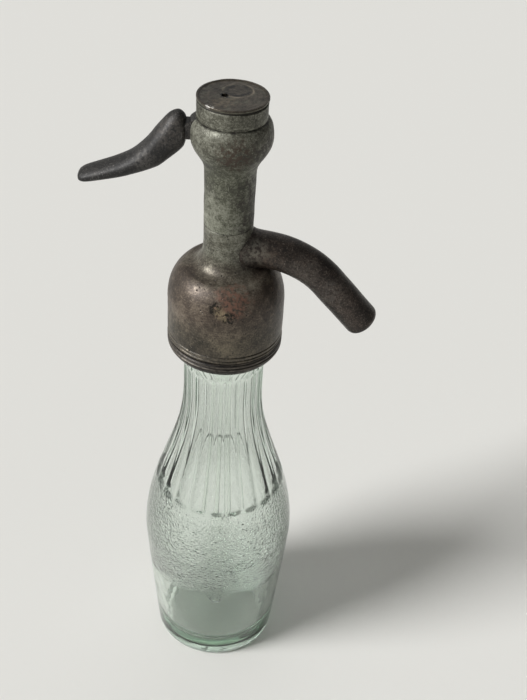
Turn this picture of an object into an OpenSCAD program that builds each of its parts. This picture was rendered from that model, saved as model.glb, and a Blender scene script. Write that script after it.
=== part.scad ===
// Soda siphon: a fluted glass bottle under a cast dispensing head.
// It stands on z = 0 with the bottle's axis on Z. The spout leaves towards +X and the lever towards -X.
// Pressing the lever's outer end down lifts the plunger off its seat, and gas drives the water
// up the dip tube, past the seat and out of the spout.

/* [Bottle] */
// Largest outside radius, at the belly
belly_r = 38.2; // [36:0.2:42]
// Height of the belly
belly_h = 78; // [72:1:84]
// Outside radius just above the heel
foot_r = 32.4; // [30:0.2:34]
// Rounding of the heel
heel_r = 3.5; // [2:0.5:4]
// Outside radius of the fluted neck
neck_r = 18.7; // [18:0.1:20]
// Height at which the neck starts to swell into the shoulder
shoulder_h = 173; // [168:1:178]
// Wall of the glass
glass_wall = 5; // [4:0.25:6]
// Thickness of the base
glass_base = 9; // [7:0.5:11]
// Height of the mouth's rim
mouth_h = 222; // [218:1:228]

/* [Flutes] */
// Number of flutes
flutes = 22; // [16:1:28]
// Depth of a flute
flute_depth = 0.9; // [0.5:0.1:1.2]
// Height of the flutes' lower ends
flute_low = 114; // [108:1:120]
// Height of the flutes' upper ends
flute_high = 190; // [184:1:194]

/* [Mouth of the bottle] */
// Radius of the bore through the mouth
mouth_r = 11; // [10.8:0.1:11.5]
// Radius of the glass just under the lip
finish_r = 18.1; // [17.6:0.1:18.4]
// Radius of the lip
lip_r = 20.5; // [20.1:0.1:20.8]
// Height of the lip
lip_t = 12; // [10:0.5:13]
// Thickness of the rubber washer on the rim
neck_washer_t = 2.5; // [2:0.25:3]

/* [Collar] */
// Thickness of the split ring under the lip
split_t = 6.7; // [6:0.1:8]
// Gap between the split ring's halves
split_gap = 0.6; // [0.4:0.1:1]
// Thickness of the collar's ledge
ledge_t = 4.4; // [4:0.1:5]
// Height of the collar's visible band
collar_band = 7.8; // [7:0.1:9]
// Height of the collar's threaded upstand
upstand_h = 7.6; // [6:0.1:8]
// Thickness of the threaded upstand
upstand_t = 1.2; // [1:0.1:1.4]

/* [Head] */
// Outside radius of the head's skirt
dome_r = 26.1; // [25.9:0.1:28]
// Wall of the skirt
skirt_wall = 1.9; // [1.7:0.1:2]
// Height from the glass washer to the top of the dome
dome_rise = 19.3; // [18:0.1:21]
// Outside radius of the upright neck
stem_r = 10.6; // [10.4:0.1:11.4]
// Height of the spout's axis above the glass washer
spout_rise = 27.5; // [26.5:0.5:29]
// Radius of the valve chamber
chamber_r = 6.5; // [6.3:0.1:6.8]
// Depth of the valve chamber below the spout's axis
chamber_drop = 16; // [15:0.5:17]
// Radius of the bore for the packing and its gland
packing_r = 8.1; // [7.8:0.1:8.3]

/* [Dip tube] */
// Outside radius of the tube
tube_r = 4.5; // [4:0.1:4.7]
// Wall of the tube
tube_wall = 1.5; // [1:0.1:1.8]
// Gap between the tube's end and the bottle's floor
tube_foot_gap = 5; // [3:0.5:8]
// Radius of the bore that takes the rubber sleeve
sleeve_r = 7.4; // [7.2:0.1:7.6]
// Length of the rubber sleeve
sleeve_h = 9.5; // [8:0.5:10]
// Wall of the threaded boss round the sleeve
boss_wall = 1.2; // [1:0.1:1.3]
// Wall of the nut that holds the sleeve
nut_wall = 1.5; // [1.2:0.1:1.6]

/* [Valve] */
// Thickness of the leather ring under the valve seat
seat_gasket_t = 1; // [0.8:0.1:1.5]
// Thickness of the valve seat
seat_t = 5; // [4:0.5:6]
// Radius of the hole in the seat
seat_hole_r = 3; // [2.8:0.1:3.2]
// Height of the raised lip that the washer shuts on
seat_lip = 1; // [0.8:0.1:1.2]
// Radius of the rubber valve washer
valve_washer_r = 5.2; // [5:0.1:5.3]
// Thickness of the rubber valve washer
valve_washer_t = 3; // [2.5:0.1:3.5]
// Radius of the plunger's rod
rod_r = 2.6; // [2.5:0.1:2.8]
// Thickness of the leather packing
packing_t = 2.4; // [2:0.1:3]
// Thickness of the gland nut
gland_t = 2; // [1.8:0.1:2.5]

/* [Column] */
// Height of the column between the seam and the crease under its rim
column_h = 49; // [47:0.5:52]
// Height of the plain rim above the crease
rim_h = 7.1; // [6:0.1:8]
// Radius of the plain rim
rim_r = 14.3; // [14:0.1:14.8]
// Radius of the swelling round the lever's pivot
bulb_r = 16.8; // [16.6:0.1:17.4]
// Radius of the bore round the spring
spring_bore_r = 7.3; // [7:0.1:7.6]
// Radius of the bore round the plunger's yoke
yoke_bore_r = 9.6; // [9.4:0.1:9.8]
// Thickness of the guide nut above the spring
guide_t = 3.4; // [3:0.1:4]

/* [Cap] */
// Radius of the cap
cap_r = 14.5; // [14.3:0.1:15]
// Thickness of the cap's disc
cap_t = 1.2; // [1:0.1:2]
// Depth of the plug below the disc
plug_h = 3.6; // [3:0.1:3.8]
// Thickness of the leather ring under the disc
cap_gasket_t = 0.7; // [0.5:0.1:0.9]
// Radius of the vent hole
vent_r = 1.5; // [1:0.1:2]
// Distance of the vent hole from the axis
vent_offset = 3.2; // [2.5:0.1:5]

/* [Lever] */
// Distance of the pivot from the axis
pivot_x = 12.5; // [12.2:0.1:12.8]
// Radius of the round hub on the pivot
hub_r = 5.2; // [4.8:0.1:5.3]
// Width of the hub
hub_w = 8; // [7:0.2:8.4]
// Radius of the pivot pin
pin_r = 1.5; // [1.3:0.1:1.6]
// Radius of the rounded nose that lifts the plunger
nose_r = 3; // [2.8:0.1:3.1]
// Length of the handle from its heel to its tip
handle_l = 44.5; // [40:0.5:48]

/* [Spout] */
// Outside radius of the spout where it bends
spout_r = 8; // [7.6:0.1:8.4]
// Outside radius near the spout's tip
spout_tip_r = 7.8; // [6.8:0.1:8]
// Radius of the water passage
passage_r = 4; // [3.6:0.1:4.2]
// Radius of the bend
bend_r = 46; // [42:1:50]
// Angle by which the spout turns down
bend_angle = 49; // [45:1:55]
// Length of the straight end
nozzle_l = 28; // [24:1:32]

/* [Spring] */
// Radius of the spring's wire
wire_r = 0.7; // [0.5:0.05:0.8]
// Mean radius of the coils
coil_r = 5; // [4.6:0.1:5.3]
// Number of turns
turns = 8; // [6:1:9]

/* [Hidden] */
$fn = 72;

glass = [0.72, 0.86, 0.76, 0.45];
pewter = [0.50, 0.49, 0.43];
dark_pewter = [0.27, 0.25, 0.23];
brass = [0.72, 0.58, 0.30];
rubber = [0.16, 0.15, 0.15];
leather = [0.45, 0.30, 0.18];
steel = [0.66, 0.67, 0.68];

fit = 0.1;      // clearance between screwed or seated pieces
face = 0.05;    // clearance between faces that bear on each other
run = 0.08;     // radial clearance of a rod or pin in its guide
over = 1;       // how far a cutter runs past a face

// Bottle
flat_r = foot_r - heel_r;
lip_low = mouth_h - lip_t;
finish_low = flute_high + 4;
flute_step = 0.03;              // the fluted stretch sits in a hair, so that it joins the round ones cleanly
floor_r = 9;                    // rounding of the floor inside
throat_low = lip_low - 14;      // where the bore through the neck starts to widen

// Collar and split ring, stacked down from the lip
split_top = lip_low - fit;
ledge_z = split_top - split_t - fit;
collar_low = ledge_z - ledge_t;
skirt_low = collar_low + collar_band;
skirt_bore = dome_r - skirt_wall;
upstand_r = skirt_bore - fit;
pocket_r = upstand_r - upstand_t;
split_r = pocket_r - fit;
collar_bore = lip_r + 0.3;

// Head, stacked up from the glass
ceiling_z = mouth_h + neck_washer_t;
dome_top = ceiling_z + dome_rise;
spout_z = ceiling_z + spout_rise;
chamber_low = spout_z - chamber_drop;
packing_z = spout_z + passage_r + 2;
gland_z = packing_z + packing_t + face;
spigot_z = gland_z + gland_t + face;
seam_z = spigot_z + 1.5;
spigot_r = packing_r - fit;
dome_round = 11.2;              // rounding of the dome's shoulder
dome_sweep = 72;                // angle at which the shoulder passes into the neck's curve

// Dip tube
sleeve_top = ceiling_z + 1.5;
tube_top = sleeve_top - face;
boss_r = sleeve_r + boss_wall;
boss_low = sleeve_top - sleeve_h - 2;
nut_t = 2.5;
nut_low = boss_low - nut_t;
nut_grip = 8;                   // length of the boss inside the nut
nut_top = boss_low + nut_grip;
nut_r = boss_r + fit + nut_wall;
tube_low = glass_base + tube_foot_gap;
riser_r = tube_r - tube_wall + 0.5;

// Valve, stacked up from the chamber's floor
seat_z = chamber_low + seat_gasket_t + face;
shut_z = seat_z + seat_t + seat_lip;
valve_washer_z = shut_z + face;
foot_z = valve_washer_z + valve_washer_t;
foot_t = 3;
cup_h = 1.5;
foot_outer = valve_washer_r + 0.6;
rod_z = foot_z + foot_t + face;
screw_r = 1.5;
screw_head_r = 2.4;
screw_grip = 3;

// Column
crease_z = seam_z + column_h;
column_top = crease_z + rim_h;
bulb_z = crease_z - 7.5;
bulb_low = crease_z - 15;
swell_low = crease_z - 31;      // height at which the column starts to swell
swell_pull = [crease_z - 25, crease_z - 17];    // heights that steer the curve of the swell
guide_z = crease_z - 21;
pivot_z = crease_z - 5.7;
slot_w = hub_w + 0.6;
slot_r = hub_r + 0.3;

// Cap
cap_z = column_top + cap_gasket_t + 2 * face;
cap_top = cap_z + cap_t;
plug_r = yoke_bore_r - fit;
rim_w = 1.1;
recess = 0.4;

// Plunger
collar_z = seam_z + 3;
collar_t = 3;
collar_r = spring_bore_r - 0.5;
yoke_r = 6;
yoke_low = pivot_z - 7.3;
yoke_top = pivot_z + nose_r + 2.7;
window_h = nose_r + 0.15;
nose_w = 6;
window_w = nose_w + 0.6;

// Spring
spring_low = collar_z + collar_t + face;
spring_high = guide_z - face;
pitch = (spring_high - spring_low - 2 * wire_r) / turns;
echo(least_gap_between_coils = pitch - 2 * wire_r);

// Lever
tongue_t = 1.5;                 // half the thickness of the tongue
heel_x = 18.3;                  // distance of the handle's heel from the axis
link_low = hub_r - 1;           // depth below the pivot of the link between hub and heel
link_high = hub_r - 2.5;        // its height above the pivot
pin_l = 2 * sqrt(pow(bulb_r, 2) - pow(pivot_x + pin_r, 2)) - 0.6;
// Handle stations from heel to tip: share of the length, height of the centre above the pivot,
// half height and half width of the oval there
handle = [
    [0.00, -1.0, 4.6, 4.2],
    [0.02, -1.4, 6.9, 5.2],
    [0.07, -2.0, 8.9, 6.0],
    [0.15, -4.5, 9.7, 6.8],
    [0.25, -8.9, 9.0, 7.1],
    [0.36, -13.3, 6.8, 7.2],
    [0.48, -16.8, 5.0, 7.1],
    [0.62, -19.7, 4.1, 6.8],
    [0.78, -22.1, 3.4, 6.5],
    [0.92, -24.0, 2.8, 5.8],
    [0.98, -24.7, 2.0, 4.2],
    [1.00, -24.9, 0.7, 1.8]];
handle_sides = 20;

// Spout
bend_x = stem_r - 0.6;
nipple_r = passage_r + 1;
nipple_x = chamber_r + 0.2;
nose_round = 3.2;
nose_sweep = 70;                // angle of the rounding at the spout's mouth
lap = 0.5;                      // overlap of the spout's straight and bent stretches
step_in = 0.02;                 // difference of radius where they meet
nozzle_x = bend_x + bend_r * sin(bend_angle);
nozzle_z = spout_z - bend_r * (1 - cos(bend_angle));

// Point at share t of a cubic curve through a and d, pulled towards b and c
function curve(a, b, c, d, t) =
    pow(1 - t, 3) * a + 3 * t * pow(1 - t, 2) * b + 3 * t * t * (1 - t) * c + pow(t, 3) * d;
function curve_points(a, b, c, d, n = 10) = [for (i = [0:n]) curve(a, b, c, d, i / n)];

// Points of an arc round c, with radii rx and ry, from angle a to angle b
function arc_points(c, rx, ry, a, b, n = 8) =
    [for (i = [0:n]) let (t = a + (b - a) * i / n) [c.x + rx * cos(t), c.y + ry * sin(t)]];

// Outside radius of the bottle at height z, without its flutes
function wall_r(z) =
    z >= shoulder_h ? neck_r
    : z >= belly_h ? neck_r + (belly_r - neck_r) * (1 - cos(180 * (shoulder_h - z) / (shoulder_h - belly_h))) / 2
    : belly_r - (belly_r - foot_r) * pow((belly_h - z) / (belly_h - heel_r), 1.15);

function wall_points(low, high, inset = 0, step = 4) =
    let (n = ceil((high - low) / step))
    [for (i = [0:n]) let (z = low + (high - low) * i / n) [wall_r(z) - inset, z]];

// Share of the full flute depth at a turn of a (-1 to 1 across one flute) and at height z
function flute_share(a, z) =
    let (end = min(z - flute_low, flute_high - z), e = max(0, 1 - end / 7))
    max(0, 1 - a * a - e * e);

// Joins rings of points, each with the same number of sides, into one closed skin
module skin(rings) {
    n = len(rings[0]);
    last = len(rings) - 1;
    sides = [for (i = [0:last - 1], k = [0:n - 1])
        let (a = i * n + k, b = i * n + (k + 1) % n)
        each [[a, a + n, b + n], [a, b + n, b]]];
    ends = [[for (k = [0:n - 1]) k], [for (k = [n - 1:-1:0]) last * n + k]];
    polyhedron(points = [for (ring = rings) each ring], faces = concat(sides, ends));
}

module ring(outer, inner, low, high) {
    difference() {
        translate([0, 0, low]) cylinder(r = outer, h = high - low);
        translate([0, 0, low - over]) cylinder(r = inner, h = high - low + 2 * over);
    }
}

module drill(r, low, high) {
    translate([0, 0, low]) cylinder(r = r, h = high - low);
}

// ---- Bottle ----

module fluted_shoulder() {
    per_flute = 5;
    levels = 17;
    count = flutes * per_flute;
    heights = [for (i = [0:levels]) flute_low
        + (flute_high - flute_low) * (1 - cos(180 * i / levels)) / 2];
    skin([for (z = heights) [for (k = [0:count - 1])
        let (across = 2 * (k % per_flute) / per_flute - 1,
            r = wall_r(z) - flute_step - flute_depth * flute_share(across, z),
            turn = 360 * k / count)
        [r * cos(turn), r * sin(turn), z]]]);
}

module bottle_cavity() {
    inner_low = glass_base + floor_r;
    floor_edge = wall_r(inner_low) - glass_wall - floor_r;
    rotate_extrude() polygon(concat(
        [[0, glass_base]],
        arc_points([floor_edge, inner_low], floor_r, floor_r, -90, 0),
        wall_points(inner_low + 2, shoulder_h, glass_wall),
        [[neck_r - glass_wall, throat_low - 6], [mouth_r, throat_low]],
        [[mouth_r, mouth_h + over], [0, mouth_h + over]]));
}

module bottle() {
    color(glass) difference() {
        union() {
            rotate_extrude() polygon(concat(
                [[0, 0]],
                arc_points([flat_r, heel_r], heel_r, heel_r, -90, 0),
                wall_points(heel_r + 2, flute_low),
                [[0, flute_low]]));
            fluted_shoulder();
            rotate_extrude() polygon(concat(
                [[0, flute_high], [neck_r, flute_high], [finish_r, finish_low], [finish_r, lip_low]],
                arc_points([lip_r - 1, lip_low + 1], 1, 1, -90, 0, 4),
                arc_points([lip_r - 2, mouth_h - 2], 2, 2, 0, 90, 4),
                [[0, mouth_h]]));
        }
        bottle_cavity();
    }
}

// ---- Dip tube and what holds it ----

module dip_tube() {
    color(glass) ring(tube_r, tube_r - tube_wall, tube_low, tube_top);
}

module tube_sleeve() {
    color(rubber) ring(sleeve_r - face, tube_r + face, sleeve_top - sleeve_h, tube_top);
}

module tube_nut() {
    color(brass) difference() {
        drill(nut_r, nut_low, nut_top);
        drill(boss_r + fit, boss_low - face, nut_top + over);
        drill(tube_r + 0.4, nut_low - over, boss_low);
    }
}

// ---- Joint between the glass and the head ----

module neck_washer() {
    color(rubber) ring(lip_r - 0.3, mouth_r + 0.3, mouth_h + face, ceiling_z - face);
}

module split_half(side) {
    intersection() {
        ring(split_r, finish_r + 0.2, ledge_z + face, split_top);
        translate([-2 * split_r, side > 0 ? split_gap / 2 : -2 * split_r - split_gap / 2, ledge_z - over])
            cube([4 * split_r, 2 * split_r, split_t + 2 * over]);
    }
}

module split_ring_left() {
    color(brass) split_half(1);
}

module split_ring_right() {
    color(brass) split_half(-1);
}

module collar_ring() {
    band_r = dome_r + 0.1;
    color(dark_pewter) rotate_extrude() polygon(concat(
        [[collar_bore, collar_low], [dome_r - 2.6, collar_low]],
        curve_points([dome_r - 2.2, collar_low + 0.2], [dome_r - 0.8, collar_low + 1.6],
            [band_r, collar_low + 3], [band_r, collar_low + 5]),
        [[band_r, skirt_low - face], [upstand_r, skirt_low - face]],
        [[upstand_r, skirt_low + upstand_h], [pocket_r, skirt_low + upstand_h]],
        [[pocket_r, ledge_z], [collar_bore, ledge_z]]));
}

// ---- Head ----

function dome_points() = concat(
    arc_points([dome_r - dome_round, ceiling_z + 1.5], dome_round, dome_rise - 1.5, 0, dome_sweep, 12),
    curve_points([dome_r - 8.4, dome_top - 0.8], [stem_r + 1.6, dome_top + 0.2],
        [stem_r, dome_top + 4.5], [stem_r, dome_top + 12]));

module head_shape(grow = 0) {
    rotate_extrude() polygon(concat(
        [[0, skirt_low - grow], [dome_r + grow, skirt_low - grow]],
        [for (p = dome_points()) [p.x + grow, p.y + (p.x > stem_r + 0.1 ? grow : 0)]],
        [[stem_r + grow, seam_z], [0, seam_z]]));
}

module score_line(z, depth = 0.35) {
    rotate_extrude() polygon([[dome_r + over, z - over - depth], [dome_r - depth, z],
        [dome_r + over, z + over + depth]]);
}

module head_body() {
    color(pewter) difference() {
        head_shape();
        difference() {
            drill(skirt_bore, skirt_low - over, ceiling_z);
            drill(boss_r, boss_low, ceiling_z + over);
        }
        drill(sleeve_r, boss_low - over, sleeve_top);
        drill(riser_r, sleeve_top - over, chamber_low + over);
        drill(chamber_r, chamber_low, packing_z + over);
        drill(packing_r, packing_z, seam_z + over);
        translate([0, 0, spout_z]) rotate([0, 90, 0]) cylinder(r = nipple_r + face, h = dome_r);
        for (z = [1.4, 3.4]) score_line(skirt_low + z);
    }
}

// Straight root and bend, with the root stepped in a hair so that the two join cleanly
module spout_path(r, root_x) {
    translate([root_x, 0, spout_z]) rotate([0, 90, 0]) cylinder(r = r - step_in, h = bend_x + lap - root_x);
    translate([bend_x, 0, spout_z - bend_r]) rotate([90, 0, 0]) rotate([0, 0, 90 - bend_angle])
        rotate_extrude(angle = bend_angle) translate([bend_r, 0]) circle(r = r);
}

module nozzle_place() {
    translate([nozzle_x, 0, nozzle_z]) rotate([0, 90 + bend_angle, 0]) children();
}

module spout() {
    color(dark_pewter) difference() {
        union() {
            difference() {
                spout_path(spout_r, stem_r - 2);
                head_shape(face);
            }
            translate([nipple_x, 0, spout_z]) rotate([0, 90, 0]) cylinder(r = nipple_r, h = stem_r + 2 - nipple_x);
            nozzle_place() rotate_extrude() polygon(concat(
                [[0, -lap], [spout_r - step_in, -lap], [spout_r - step_in, 0]],
                arc_points([spout_tip_r - nose_round, nozzle_l - nose_round], nose_round, nose_round, 0, nose_sweep),
                [[passage_r, nozzle_l], [0, nozzle_l]]));
        }
        spout_path(passage_r - 2 * step_in, nipple_x - over);
        nozzle_place() translate([0, 0, -lap]) cylinder(r = passage_r, h = nozzle_l + lap + over);
    }
}

// ---- Valve ----

module seat_gasket() {
    color(leather) ring(chamber_r - fit, riser_r + 0.3, chamber_low + face, chamber_low + seat_gasket_t);
}

module valve_seat() {
    color(brass) difference() {
        union() {
            drill(chamber_r - fit, seat_z, seat_z + seat_t);
            drill(seat_hole_r + 1.2, seat_z, shut_z);
        }
        drill(seat_hole_r, seat_z - over, shut_z + over);
    }
}

module valve_washer() {
    color(rubber) ring(valve_washer_r, screw_r + fit, valve_washer_z, foot_z - face);
}

module washer_screw() {
    color(brass) {
        drill(screw_head_r, valve_washer_z - face - 0.9, valve_washer_z - face);
        drill(screw_r, valve_washer_z - 0.5, rod_z + screw_grip);
    }
}

module plunger_foot() {
    color(brass) difference() {
        drill(foot_outer, foot_z - cup_h, foot_z + foot_t);
        drill(valve_washer_r + face, foot_z - cup_h - over, foot_z);
        drill(screw_r + face, foot_z - over, foot_z + foot_t + over);
    }
}

module plunger() {
    color(brass) difference() {
        union() {
            drill(rod_r, rod_z, yoke_low + over);
            drill(collar_r, collar_z, collar_z + collar_t);
            drill(yoke_r, yoke_low, yoke_top);
        }
        drill(screw_r + face, rod_z - over, rod_z + screw_grip + 0.5);
        translate([-yoke_r - over, -window_w / 2, pivot_z - window_h])
            cube([2 * (yoke_r + over), window_w, 2 * window_h]);
    }
}

module packing() {
    color(leather) ring(spigot_r, rod_r + run, packing_z + face, gland_z - face);
}

module gland_nut() {
    color(brass) ring(spigot_r, rod_r + run, gland_z, spigot_z - face);
}

// ---- Column ----

module column() {
    color(pewter) difference() {
        union() {
            drill(spigot_r, spigot_z, seam_z + over);
            rotate_extrude() polygon(concat(
                [[0, seam_z + face], [stem_r, seam_z + face], [stem_r + 0.1, swell_low]],
                curve_points([stem_r + 0.25, swell_pull[0]], [stem_r + 0.3, swell_pull[1]],
                    [bulb_r, bulb_low], [bulb_r, bulb_z]),
                curve_points([bulb_r, bulb_z + 0.5], [bulb_r, bulb_z + 4], [rim_r + 1.9, crease_z - 1.5],
                    [rim_r + 0.3, crease_z - 0.2]),
                [[rim_r, crease_z],
                [rim_r + 0.1, column_top], [0, column_top]]));
        }
        drill(spring_bore_r, spigot_z - over, guide_z + over);
        drill(yoke_bore_r, guide_z, column_top + over);
        translate([-bulb_r - over, -slot_w / 2, pivot_z - slot_r])
            cube([bulb_r + over - yoke_bore_r + 2, slot_w, 2 * slot_r]);
        pin_hole(pin_l + 0.2);
    }
}

module pin_hole(length) {
    translate([-pivot_x, length / 2, pivot_z]) rotate([90, 0, 0]) cylinder(r = pin_r + face, h = length);
}

module guide_nut() {
    color(brass) ring(plug_r, rod_r + run, guide_z + face, guide_z + guide_t);
}

module spring() {
    per_turn = 8;
    sides = 6;
    steps = turns * per_turn;
    color(steel) skin([for (i = [0:steps])
        let (turn = 360 * i / per_turn, z = spring_low + wire_r + pitch * i / per_turn)
        [for (k = [0:sides - 1])
            let (a = 360 * k / sides, r = coil_r + wire_r * cos(a))
            [r * cos(turn), r * sin(turn), z - wire_r * sin(a)]]]);
}

// ---- Cap ----

module cap_gasket() {
    color(leather) ring(rim_r - 0.9, yoke_bore_r + fit, column_top + face, cap_z - face);
}

module cap() {
    color(dark_pewter) difference() {
        union() {
            rotate_extrude() polygon([[0, cap_z], [cap_r - 0.2, cap_z], [cap_r, cap_z + 0.3],
                [cap_r, cap_top - 0.3], [cap_r - 0.3, cap_top], [0, cap_top]]);
            drill(plug_r, cap_z - plug_h, cap_z + face);
        }
        drill(cap_r - rim_w, cap_top - recess, cap_top + over);
        translate([-vent_offset, 0, cap_z - plug_h - over]) cylinder(r = vent_r, h = plug_h + cap_t + 2 * over);
    }
}

// ---- Lever ----

// Smooth value at share t between b and c, with neighbours a and d
function blend(a, b, c, d, t) =
    0.5 * ((2 * b) + (c - a) * t + (2 * a - 5 * b + 4 * c - d) * t * t + (3 * b - a - 3 * c + d) * pow(t, 3));

module handle_shape() {
    last = len(handle) - 1;
    steps = 2;
    stations = [for (i = [0:last - 1], s = [0:steps - 1])
        blend(handle[max(i - 1, 0)], handle[i], handle[i + 1], handle[min(i + 2, last)], s / steps)];
    skin([for (st = concat(stations, [handle[last]]))
        [for (k = [0:handle_sides - 1])
            let (a = 360 * k / handle_sides)
            [-heel_x - handle_l * st[0], st[3] * sin(a), pivot_z + st[1] + st[2] * cos(a)]]]);
}

module lever() {
    color(dark_pewter) difference() {
        union() {
            handle_shape();
            translate([-pivot_x, hub_w / 2, pivot_z]) rotate([90, 0, 0]) cylinder(r = hub_r, h = hub_w);
            translate([-heel_x - 2, -hub_w / 2, pivot_z - link_low]) cube([heel_x + 2 - pivot_x, hub_w, link_low + link_high]);
            translate([-pivot_x, -nose_w / 2, pivot_z - tongue_t]) cube([pivot_x, nose_w, 2 * tongue_t]);
            translate([0, nose_w / 2, pivot_z]) rotate([90, 0, 0]) cylinder(r = nose_r, h = nose_w);
        }
        translate([-pivot_x, hub_w / 2 + over, pivot_z]) rotate([90, 0, 0])
            cylinder(r = pin_r + run, h = hub_w + 2 * over);
    }
}

module lever_pin() {
    color(steel) translate([-pivot_x, pin_l / 2, pivot_z]) rotate([90, 0, 0]) cylinder(r = pin_r, h = pin_l);
}

bottle();
dip_tube();
tube_sleeve();
tube_nut();
neck_washer();
split_ring_left();
split_ring_right();
collar_ring();
head_body();
spout();
seat_gasket();
valve_seat();
valve_washer();
washer_screw();
plunger_foot();
plunger();
packing();
gland_nut();
column();
guide_nut();
spring();
cap_gasket();
cap();
lever();
lever_pin();
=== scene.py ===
"""A half-litre soda siphon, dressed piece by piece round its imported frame.

Lengths in the sections are in millimetres and turned to metres where a mesh is made.
"""
import math

import bmesh
import bpy
from mathutils import Matrix, Vector, noise
from mathutils.bvhtree import BVHTree


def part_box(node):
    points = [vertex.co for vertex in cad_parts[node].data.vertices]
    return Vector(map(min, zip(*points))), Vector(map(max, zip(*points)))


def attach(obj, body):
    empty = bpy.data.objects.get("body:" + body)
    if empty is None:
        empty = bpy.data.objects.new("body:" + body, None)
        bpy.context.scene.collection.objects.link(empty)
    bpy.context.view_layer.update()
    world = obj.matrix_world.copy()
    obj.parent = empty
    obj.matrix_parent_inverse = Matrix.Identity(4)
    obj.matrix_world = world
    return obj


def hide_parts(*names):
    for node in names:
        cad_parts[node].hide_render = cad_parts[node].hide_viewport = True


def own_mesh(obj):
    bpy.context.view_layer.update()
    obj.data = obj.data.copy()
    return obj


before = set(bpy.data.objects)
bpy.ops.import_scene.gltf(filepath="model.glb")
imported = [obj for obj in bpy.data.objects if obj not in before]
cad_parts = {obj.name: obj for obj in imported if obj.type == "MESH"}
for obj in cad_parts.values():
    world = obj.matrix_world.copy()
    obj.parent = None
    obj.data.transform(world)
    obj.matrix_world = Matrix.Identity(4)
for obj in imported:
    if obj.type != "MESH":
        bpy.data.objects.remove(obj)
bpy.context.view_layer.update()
MM = 0.001


# ---- Camera, floor and light ----
# The siphon stands on a table and is seen from above at arm's length, a little turned in the
# frame. The camera is placed on the siphon's own axes, from the ellipses of its cap and collar.
PHOTO_HEIGHT = 700
FOCAL_PX = 1052
EYE = Vector((0.0183, -0.3790, 0.5044))
PITCH = math.radians(39.2)
ROLL = math.radians(3.78)
FLOOR_SIZE = 40.0


def tone(code):
    """Linear colour of an sRGB hex value."""
    parts = [int(code[i:i + 2], 16) / 255 for i in (1, 3, 5)]
    return [c / 12.92 if c <= 0.04045 else ((c + 0.055) / 1.055) ** 2.4 for c in parts] + [1.0]


def add(tree, kind, inputs=(), **settings):
    """Adds a node, sets its own settings, and sets or links its inputs, given by name or number."""
    node = tree.nodes.new(kind)
    for key, value in settings.items():
        setattr(node, key, value)
    for key, value in dict(inputs).items():
        if isinstance(value, bpy.types.NodeSocket):
            tree.links.new(value, node.inputs[key])
        else:
            node.inputs[key].default_value = value
    return node


def new_material(name):
    """An empty material with its tree and its output node."""
    material = bpy.data.materials.new(name)
    material.use_nodes = True
    material.node_tree.nodes.clear()
    return material, material.node_tree


camera_data = bpy.data.cameras.new("camera")
camera_data.sensor_width = 36
camera_data.lens = FOCAL_PX / PHOTO_HEIGHT * camera_data.sensor_width
camera_data.clip_start = 0.01
camera = bpy.data.objects.new("camera", camera_data)
bpy.context.scene.collection.objects.link(camera)
look = Vector((0, math.cos(PITCH), -math.sin(PITCH)))
level_up = Vector((1, 0, 0)).cross(look)
right = Vector((1, 0, 0)) * math.cos(ROLL) + level_up * math.sin(ROLL)
up = level_up * math.cos(ROLL) - Vector((1, 0, 0)) * math.sin(ROLL)
camera.matrix_world = Matrix.Translation(EYE) @ Matrix((right, up, -look)).transposed().to_4x4()
bpy.context.scene.camera = camera

floor_mesh = bpy.data.meshes.new("floor")
half = FLOOR_SIZE / 2
floor_mesh.from_pydata([(-half, -half, 0), (half, -half, 0), (half, half, 0), (-half, half, 0)], [], [(0, 1, 2, 3)])
floor = bpy.data.objects.new("floor", floor_mesh)
bpy.context.scene.collection.objects.link(floor)
floor_paint, tree = new_material("pale matt floor")
surface = add(tree, "ShaderNodeBsdfPrincipled", {"Base Color": tone("#DEDDD9"), "Roughness": 1.0, "Specular IOR Level": 0.1})
add(tree, "ShaderNodeOutputMaterial", {"Surface": surface.outputs[0]})
floor_mesh.materials.append(floor_paint)

world = bpy.data.worlds.new("studio")
bpy.context.scene.world = world
world.use_nodes = True
# The room lights the metal from the window's side. Through the glass it is a pale wall that turns
# dark overhead, which draws the edges of the flutes
room = world.node_tree
toward = add(room, "ShaderNodeSeparateXYZ", {0: add(room, "ShaderNodeTexCoord").outputs["Generated"]}).outputs
lit_side = add(room, "ShaderNodeMapRange", {
    "Value": toward["X"], "From Min": -1.0, "From Max": 1.0, "To Min": 0.5, "To Max": 0.03}).outputs[0]
wall = add(room, "ShaderNodeMapRange", {
    "Value": toward["Z"], "From Min": 0.15, "From Max": 0.6, "To Min": 0.78, "To Max": 0.08}).outputs[0]
ray = add(room, "ShaderNodeLightPath").outputs
behind = add(room, "ShaderNodeMix", {
    "Factor": ray["Is Transmission Ray"], "A": lit_side, "B": wall}, data_type="FLOAT").outputs["Result"]
strength = add(room, "ShaderNodeMix", {
    "Factor": ray["Is Camera Ray"], "A": behind, "B": 0.78}, data_type="FLOAT").outputs["Result"]
sky = room.nodes["Background"]
sky.inputs["Color"].default_value = tone("#F4F4F0")
room.links.new(strength, sky.inputs["Strength"])
bpy.context.scene.view_settings.view_transform = "Standard"

for name, place, power, softness in (
        ("window_light", (-1.2, -0.5, 0.82), 4.1, 24),
        ("fill_light", (0.9, -0.9, 0.8), 0.1, 60),
        ("back_light", (0.2, 1.1, 0.9), 0.3, 60)):
    lamp = bpy.data.lights.new(name, "SUN")
    lamp.energy = power
    lamp.angle = math.radians(softness)
    lamp_object = bpy.data.objects.new(name, lamp)
    lamp_object.matrix_world = (
        Matrix.Translation(place) @ (-Vector(place)).to_track_quat("-Z", "Y").to_matrix().to_4x4())
    bpy.context.scene.collection.objects.link(lamp_object)


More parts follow.
